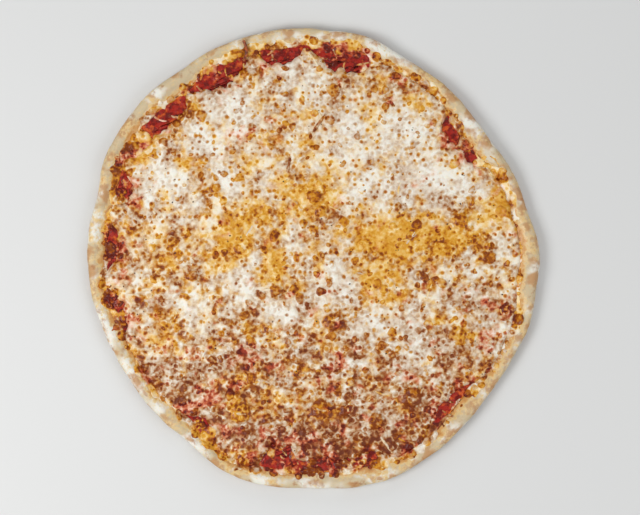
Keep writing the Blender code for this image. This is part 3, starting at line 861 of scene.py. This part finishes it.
def makeCheese(fields):
    settings = cheeseSettings
    # A grid, cut to the outline.
    outline, reach = cheeseOutline()
    tree = KDTree(len(outline))
    for index, point in enumerate(outline):
        tree.insert((*point, 0), index)
    tree.balance()
    bm = bmesh.new()
    cells = fieldSettings["cells"]
    bmesh.ops.create_grid(bm, x_segments=cells, y_segments=cells, size=fieldSettings["half"] * mm)
    outside = []
    for vert in bm.verts:
        x, y = vert.co.x / mm, vert.co.y / mm
        spare = around(reach, math.atan2(y, x)) - math.hypot(x, y)
        if spare < 0 or (spare < 6 and tree.find((x, y, 0))[2] < 0.4 * gridStep):
            outside.append(vert)
    bmesh.ops.delete(bm, geom=outside, context="VERTS")
    lone = [vert for vert in bm.verts if not vert.link_faces]
    bmesh.ops.delete(bm, geom=lone, context="VERTS")
    border = [edge for edge in bm.edges if edge.is_boundary]
    for vert in {vert for edge in border for vert in edge.verts}:
        near = tree.find((vert.co.x / mm, vert.co.y / mm, 0))[0]
        vert.co.xy = near.xy * mm
    for _ in range(2):
        moved = {}
        for vert in {vert for edge in border for vert in edge.verts}:
            others = [edge.other_vert(vert) for edge in vert.link_edges if edge.is_boundary]
            middle = sum((other.co for other in others), Vector())
            moved[vert] = vert.co * 0.5 + middle * 0.5 / len(others)
        for vert, place in moved.items():
            vert.co = place
    # Its height, from the edge inwards.
    edgeTree = KDTree(len(border))
    for index, edge in enumerate(border):
        edgeTree.insert((edge.verts[0].co + edge.verts[1].co) / 2, index)
    edgeTree.balance()
    bm.verts.ensure_lookup_table()
    flat = np.array([vert.co.xy for vert in bm.verts]) / mm
    inward = np.array([edgeTree.find(vert.co)[2] for vert in bm.verts]) / mm
    boundary = np.array([vert.is_boundary for vert in bm.verts])
    inward[boundary] = 0
    x, y = flat.T
    ground = np.array([bedHeight(*point) for point in flat])
    carried = np.array([heightOn(cadTrees["melted_cheese"], *point, None) or 0 for point in flat])
    carried = np.maximum(carried, ground + settings["least"])
    share = np.clip(inward / settings["edgeRounding"], 0, 1)
    profile = 0.3 + 0.7 * np.sqrt(1 - (1 - share) ** 2)
    values = {name: sampled(field, x, y) for name, field in fields.items()}
    height, size = settings["swell"]
    raised = settings["strandHeight"] * (values["ridge"] - 0.4) * (0.5 + 0.5 * values["bake"])
    raised += values["dome"] + height * patches(x, y, size, 52)
    raised += 0.9 * (np.clip(values["level"], 0.1, 1) - 0.6)
    z = ground + (carried - ground) * profile + raised * smoothStep(inward, 0.0, 2.5)
    for vert, level in zip(bm.verts, z):
        vert.co.z = level * mm
    # Its side down to the bed, and a flat underside.
    under, span, inset = settings["under"]
    low = lowest(reach, span) - inset
    made = bmesh.ops.extrude_edge_only(bm, edges=border)
    for vert in madeVerts(made):
        vert.co.z = (bedHeight(*(vert.co.xy / mm)) + 0.08) * mm
    made = bmesh.ops.extrude_edge_only(bm, edges=madeEdges(made))
    border = madeEdges(made)
    for vert in madeVerts(made):
        turn = math.atan2(vert.co.y, vert.co.x)
        distance = float(around(low, turn))
        vert.co = Vector((distance * math.cos(turn), distance * math.sin(turn), under)) * mm
    bmesh.ops.contextual_create(bm, geom=border)
    bmesh.ops.recalc_face_normals(bm, faces=bm.faces)
    piece = finishPiece(bm, "cheeseSheet", cheeseMaterial(), ["melted_cheese"])
    x, y, z = (places(piece.data) / mm).T
    looks = {name: sampled(fields[name], x, y) for name in cheeseLooks}
    turn = np.arctan2(y, x)
    seam = smoothStep(around(reach, turn) - np.hypot(x, y), 7.0, 1.0)
    looks["red"] = looks["red"] + 0.45 * seam * stretchShare(turn, bareStretches, 1.5)
    for name, values in looks.items():
        setField(piece.data, name, values)
    return piece


cheeseMaps = cheeseFields()
print("cheese fields made")
cheese = makeCheese(cheeseMaps)
cheeseTree = surfaceTree(cheese.data)
print("cheese made:", len(cheese.data.polygons), "faces")


def topHeight(x, y):
    return max(heightOn(tree, x, y) for tree in (crustTree, sauceTree, cheeseTree))


def rimAt(turn):  # the middle of the rim's inner slope, from the middle of the pizza, in mm
    return float(around(sauceReach, turn))


def joinedPiece(name, parts, faces, material, fields):  # many small closed shapes as one mesh
    count = len(parts[0])
    mesh = bpy.data.meshes.new(name)
    points = np.concatenate(parts) * mm
    joined = [[index + count * number for index in face]
              for number in range(len(parts)) for face in faces]
    mesh.from_pydata(points.tolist(), [], joined)
    bm = bmesh.new()
    bm.from_mesh(mesh)
    bmesh.ops.recalc_face_normals(bm, faces=bm.faces)
    bm.to_mesh(mesh)
    bm.free()
    mesh.shade_smooth()
    mesh.materials.append(material)
    for field, values in fields.items():
        setField(mesh, field, np.concatenate(values))
    piece = placeObject(name, mesh)
    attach(piece, "root")
    return piece


def closedShape(stations, sides):  # faces of so many rings, closed by a point at each end
    faces = []
    for station in range(stations - 1):
        for side in range(sides):
            first, second = station * sides + side, station * sides + (side + 1) % sides
            faces.append((first, second, second + sides, first + sides))
    start, end = stations * sides, stations * sides + 1
    faces += [(side, start, (side + 1) % sides) for side in range(sides)]
    last = (stations - 1) * sides
    faces += [(last + side, last + (side + 1) % sides, end) for side in range(sides)]
    return faces


shredSettings = {
    "stations": 5, "sides": 6,
    # Where they lie at the edge: direction and half width in degrees, how many, share browned.
    "edge": [(81, 9, 5, 0.25), (99, 7, 4, 0.35), (117, 9, 4, 0.3), (136, 8, 3, 0.35),
             (160, 7, 3, 0.6), (176, 8, 3, 0.6), (195, 7, 2, 0.6), (237, 6, 2, 0.6),
             (270, 10, 4, 0.5), (312, 10, 3, 0.6), (41, 7, 2, 0.5)],
    "loose": 60, "reach": 172,  # how many lie on the cheese, and how far out in mm
    # Browned ones on the cheese: x, y, direction in radians, length in mm.
    "browned": [(-1, 106, 0.95, 19), (-22, 72, 1.4, 14), (68, 128, 2.3, 12), (-60, -62, 0.5, 15)],
    "brownedHalf": 1.7,
    "length": (6, 15), "halfWidth": (0.8, 1.3), "height": 0.5,  # mm, and the height as a share of the width
}


def shredPoints(rng, x, y, heading, length, half, sink):
    stations, sides = shredSettings["stations"], shredSettings["sides"]
    bend = rng.gauss(0, 0.16)
    stride = length / (stations - 1)
    path = []
    for _ in range(stations):
        path.append((x, y, heading))
        x, y = x + stride * math.cos(heading), y + stride * math.sin(heading)
        heading += bend
    levels = np.array([topHeight(px, py) for px, py, _ in path])
    levels = np.convolve(np.pad(levels, 1, mode="edge"), (0.25, 0.5, 0.25), mode="valid")
    points = []
    for (px, py, turn), level, part in zip(path, levels, np.linspace(0, 1, stations)):
        taper = 0.62 + 0.38 * math.sin(math.pi * min(1, max(0, part))) ** 0.5
        wide = half * taper * rng.uniform(0.85, 1.15)
        for side in range(sides):
            angle = math.tau * side / sides
            across = wide * math.cos(angle)
            up = shredSettings["height"] * wide * math.sin(angle) + half * sink
            points.append((px - across * math.sin(turn), py + across * math.cos(turn), level + up))
    for (px, py, turn), level, way in ((path[0], levels[0], -1), (path[-1], levels[-1], 1)):
        along = way * 0.4 * half
        points.append((px + along * math.cos(turn), py + along * math.sin(turn), level + half * sink))
    return np.array(points)


def makeShreds():
    rng = random.Random(21)
    settings = shredSettings
    parts = []
    looks = {name: [] for name in cheeseLooks}

    def add(x, y, heading, level, red, sink, length=0, half=0):
        half = half or rng.uniform(*settings["halfWidth"])
        length = length or rng.uniform(*settings["length"])
        points = shredPoints(rng, x, y, heading, length, half, sink)
        parts.append(points)
        for name, value in zip(cheeseLooks, (level, rng.uniform(0.1, 0.6), red, *noBlister)):
            looks[name].append(np.full(len(points), value))

    for at, spread, count, browned in settings["edge"]:
        for _ in range(count):
            turn = math.radians(at + rng.gauss(0, 0.6) * spread)
            inner, outer = float(around(cheeseReach, turn)) - 5, rimAt(turn) - 6
            reach = inner + (outer - inner) * rng.random()
            level = rng.uniform(0.35, 0.5) if rng.random() < browned else rng.uniform(0.5, 0.75)
            x, y = reach * math.cos(turn), reach * math.sin(turn)
            add(x, y, turn + rng.gauss(0.4, 0.9), level, rng.uniform(0.1, 0.5), -0.3)
    for _ in range(settings["loose"]):
        x, y = scatteredPlace(rng, settings["reach"])
        level = float(sampled(cheeseMaps["level"], x, y)) + rng.uniform(0.02, 0.22)
        add(x, y, rng.uniform(0, math.tau), min(level, 0.9), -0.2, -0.25)
    for x, y, heading, length in settings["browned"]:
        add(x, y, heading, 0.52, 0.1, -0.1, length, settings["brownedHalf"])
    faces = closedShape(settings["stations"], settings["sides"])
    return joinedPiece("looseShreds", parts, faces, cheese.data.materials[0], looks)


edgeSettings = {
    "count": 1440, "rings": 36,  # steps round the pizza and across the band
    "inside": 5.0, "outside": 8.5,  # how far the band reaches past the cheese's edge and the sauce's, mm
    "under": (-8.5, -5.0, -2.0, 1.0, 5.0),  # rings of its underside, inside the sauce's edge, mm
    "span": 20,  # how many directions the inner edge is evened out over, to either side
    "cover": 0.75, "coarse": (0.9, 6.5), "fine": (0.5, 3.2),  # thickness, and height and size, mm
    "sunk": -0.6, "thickest": 2.4,  # mm: it ends below what it lies on
    "melted": (3.4, 1.2),  # where it begins and is closed, inside the sauce's edge, mm
    "blisters": 210, "blisterRadius": (1.6, 4.6),
    "named": 16,  # how far inside the rim the named blisters count as the band's, mm
    "palerSide": 0.7,  # the direction in which the band is less browned
}


def makeEdge():
    settings = edgeSettings
    count, rings = settings["count"], settings["rings"]
    bm = bmesh.new()
    bmesh.ops.create_circle(bm, segments=count, radius=1.0)
    border = list(bm.edges)
    for ring in range(1, rings + len(settings["under"]) + 1):
        made = bmesh.ops.extrude_edge_only(bm, edges=border)
        border = madeEdges(made)
        for vert in madeVerts(made):
            vert.co.xy *= (ring + 1) / ring
    bmesh.ops.bridge_loops(bm, edges=[edge for edge in bm.edges if edge.is_boundary])
    flat = np.array([vert.co.xy for vert in bm.verts])
    ring = np.round(np.hypot(*flat.T)).astype(int) - 1
    turn = np.arctan2(flat[:, 1], flat[:, 0])
    inner = around(lowest(cheeseReach, settings["span"]), turn) - settings["inside"]
    sauceEdge = around(sauceReach, turn)
    outer = np.maximum(around(toppingReach, turn), sauceEdge) + settings["outside"]
    reach = inner + (outer - inner) * ring / (rings - 1)
    for number, inset in enumerate(settings["under"]):
        reach = np.where(ring == rings + number, sauceEdge - inset, reach)
    reach = np.where(ring == rings + len(settings["under"]), inner, np.clip(reach, inner, outer))
    x, y = reach * np.cos(turn), reach * np.sin(turn)
    ground = np.array([bedHeight(*point) for point in zip(x, y)])
    bentX, bentY = x + 3 * patches(x, y, 6, 61), y + 3 * patches(x, y, 6, 62)
    bare = stretchShare(np.arctan2(bentY, bentX), bareStretches, 1.2)
    inset = sauceEdge - reach + 1.6 * patches(x, y, 5, 60) + 1.2 * patches(x, y, 11, 59)
    melted = smoothStep(inset, *settings["melted"])
    thick = settings["cover"] - 2.5 * bare * (1 - melted)
    for part, seed in (("coarse", 63), ("fine", 64)):
        thick = thick + settings[part][0] * patches(x, y, settings[part][1], seed) * (1 - 0.6 * melted)
    spot, tone = np.full(len(x), noBlister[0]), np.full(len(x), noBlister[1])
    rng = random.Random(65)
    small, large = settings["blisterRadius"]
    rows = [row for row in brownBlisters
            if math.hypot(*row[:2]) > rimAt(math.atan2(row[1], row[0])) - settings["named"]]
    while len(rows) < settings["blisters"]:
        at = rng.uniform(0, math.tau)
        radius = small + (large - small) * rng.random() ** 1.6
        away = rimAt(at) - rng.uniform(-4, 8)
        px, py = away * math.cos(at), away * math.sin(at)
        if all(math.hypot(px - row[0], py - row[1]) > 0.7 * (radius + row[2]) for row in rows):
            rows.append((px, py, radius, rng.uniform(0.1, 0.8)))
    nearX, nearY = x + 1.0 * patches(x, y, 5, 57), y + 1.0 * patches(x, y, 5, 58)
    for px, py, radius, depth in rows:
        distance = np.hypot(nearX - px, nearY - py) / radius
        tone = np.where((1 - distance > spot) & (distance < 1.5), depth, tone)
        spot = np.maximum(spot, 1 - distance)
        thick += 0.25 * min(radius, 4.0) * smoothStep(distance, 1.2, 0.5)
    # It thins out unevenly towards the rim, and earlier where the rim stays clean.
    clean = stretchShare(np.arctan2(bentY, bentX), cleanStretches, 1.8)
    beyond = outer - reach + 2.6 * patches(x, y, 8, 70) + 1.8 * patches(x, y, 3.5, 71)
    beyond += -1.0 - 5.0 * clean
    beyond += 3.0 * smoothStep(spot, -0.2, 0.3)
    beyond -= 1.5 + 1.5 * patches(x, y, 24, 72)
    fadeOut = smoothStep(beyond, 0.5, 5.0) * smoothStep(reach - inner, 0.0, 2.0)
    sunk, thickest = settings["sunk"], settings["thickest"]
    thick = np.clip(sunk + (np.clip(thick, sunk, thickest) - sunk) * fadeOut, sunk, thickest)
    thick[ring >= rings] = -1.0
    for vert, px, py, level in zip(bm.verts, x, y, ground + thick):
        vert.co = Vector((px, py, level)) * mm
    bmesh.ops.recalc_face_normals(bm, faces=bm.faces)
    piece = finishPiece(bm, "brownedEdge", cheese.data.materials[0])
    onSauce = smoothStep(inset, 1.0, 3.5)
    film = (1 - smoothStep(thick, 0.0, 0.6)) * onSauce
    climbing = smoothStep(inset, 1.0, -6.0)
    level = np.minimum(0.65 + 0.5 * patches(x, y, 8, 68) + 0.22 * patches(x, y, 3.6, 69), 0.9)
    looks = {
        "spot": spot, "tone": tone,
        "level": level - 0.35 * film + 0.08 * climbing + 0.1 * np.cos(turn - settings["palerSide"]),
        "warm": 0.6 + 0.7 * patches(x, y, 14, 66) + 0.15 * climbing - 0.15 * smoothStep(y, 60, -100),
        "red": 0.9 * film + 0.6 * patches(x, y, 12, 67) + 0.25 - 0.5 * climbing,
    }
    for name, values in looks.items():
        setField(piece.data, name, values)
    return piece


speckSettings = {
    "count": 170, "sides": 5,
    "radius": (0.35, 0.8), "reach": 172,  # mm
    "uneven": (0.6, 1.3),  # shares of the radius
    "colour": rgb(48, 30, 16),
    "light": rgb(104, 66, 30),
}


def makeSpecks():
    rng = random.Random(45)
    settings = speckSettings
    sides = settings["sides"]
    material, tree, shader = startMaterial("pepper", 0.6)
    grain = fade(tree, mottle(tree, objectPlace(tree), 0.8, 2), 0.4, 0.6)
    tree.links.new(blend(tree, grain, settings["colour"], settings["light"]), shader.inputs["Base Color"])
    parts = []
    for _ in range(settings["count"]):
        x, y = scatteredPlace(rng, settings["reach"])
        radius, spin = rng.uniform(*settings["radius"]), rng.uniform(0, math.tau)
        level = topHeight(x, y)
        points = []
        for rise in (-0.1, 0.15):
            for side in range(sides):
                angle = spin + math.tau * side / sides
                px = x + radius * rng.uniform(*settings["uneven"]) * math.cos(angle)
                py = y + radius * rng.uniform(*settings["uneven"]) * math.sin(angle)
                points.append((px, py, level + rise))
        points += [(x, y, level - 0.3), (x, y, level + 0.3)]
        parts.append(np.array(points))
    return joinedPiece("pepperSpecks", parts, closedShape(2, sides), material, {})


makeEdge()
print("edge made")
makeShreds()
makeSpecks()
print("small things made")


strandSettings = {
    "wrinkle": (0.5, 2.6),  # height and size in mm
    "colour": rgb(176, 90, 40),
    "dark": rgb(104, 44, 18),
}


def strandMaterial():
    material, tree, shader = startMaterial("browned strand", 0.42)
    place = objectPlace(tree)
    baked = fade(tree, mottle(tree, place, 3, 3), 0.4, 0.62)
    colour = blend(tree, baked, strandSettings["colour"], strandSettings["dark"])
    tree.links.new(colour, shader.inputs["Base Color"])
    relief(tree, shader, mottle(tree, place, 1.2, 3), 0.25)
    return material


def makeStrand():
    low, high = (np.array(corner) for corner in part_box("browned_strand"))
    bm = mergedMesh("browned_strand")
    joinTriangles(bm)
    bmesh.ops.recalc_face_normals(bm, faces=bm.faces)
    piece = finishPiece(bm, "driedStrand", strandMaterial(), ["browned_strand"])
    mesh = refined(piece, 2)
    found = places(mesh)
    height, size = strandSettings["wrinkle"]
    found += normalsOf(mesh) * (height * noiseAt(found, size) * mm)[:, None]
    setPlaces(mesh, np.clip(found, low, high))
    return piece


strand = makeStrand()
print("strand made:", len(strand.data.polygons), "faces")


stageSettings = {
    "photoWidth": 537.6, "photoMiddle": (5.46, 0.84),  # what the photograph's frame covers, in mm
    "cameraHeight": 2000.0,
    "floor": rgb(214, 214, 212),
    "floorSize": 3.0, "floorDepth": 0.2,  # half its side in m, and how far below the base in mm
    # Name, place in m, size in m, power in W.
    "lights": [("key light", (-0.8, -0.3, 1.0), 0.6, 10.2),
               ("fill light", (0.8, -0.5, 0.9), 0.9, 4.7),
               ("back light", (0.1, 1.2, 0.7), 0.7, 3.5)],
    "sky": (0.94, 0.96, 1.0, 1.0), "skyStrength": 0.425,
}


def makeStage():
    bm = bmesh.new()
    bmesh.ops.create_grid(bm, x_segments=1, y_segments=1, size=stageSettings["floorSize"])
    bmesh.ops.translate(bm, verts=bm.verts, vec=(0, 0, -stageSettings["floorDepth"] * mm))
    mesh = bpy.data.meshes.new("floor")
    bm.to_mesh(mesh)
    bm.free()
    material, _, shader = startMaterial("pale floor", 0.8, 0.2)
    shader.inputs["Base Color"].default_value = stageSettings["floor"]
    mesh.materials.append(material)
    floor = placeObject("floor", mesh)
    for name, place, size, power in stageSettings["lights"]:
        light = bpy.data.lights.new(name, "AREA")
        light.energy, light.size = power, size
        lamp = placeObject(name, light)
        lamp.location = place
        lamp.rotation_euler = (-Vector(place)).to_track_quat("-Z", "Y").to_euler()
    world = bpy.data.worlds.new("studio")
    world.use_nodes = True
    backdrop = world.node_tree.nodes["Background"]
    backdrop.inputs["Color"].default_value = stageSettings["sky"]
    backdrop.inputs["Strength"].default_value = stageSettings["skyStrength"]
    bpy.context.scene.world = world
    bpy.context.scene.view_settings.view_transform = "Standard"


def makeCamera():
    camera = bpy.data.cameras.new("camera")
    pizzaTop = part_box("melted_cheese")[1].z
    distance = stageSettings["cameraHeight"] * mm - pizzaTop
    camera.lens = camera.sensor_width * distance / (stageSettings["photoWidth"] * mm)
    view = placeObject("camera", camera)
    x, y = stageSettings["photoMiddle"]
    view.location = Vector((x, y, stageSettings["cameraHeight"])) * mm
    bpy.context.scene.camera = view


makeStage()
makeCamera()
print("stage made")
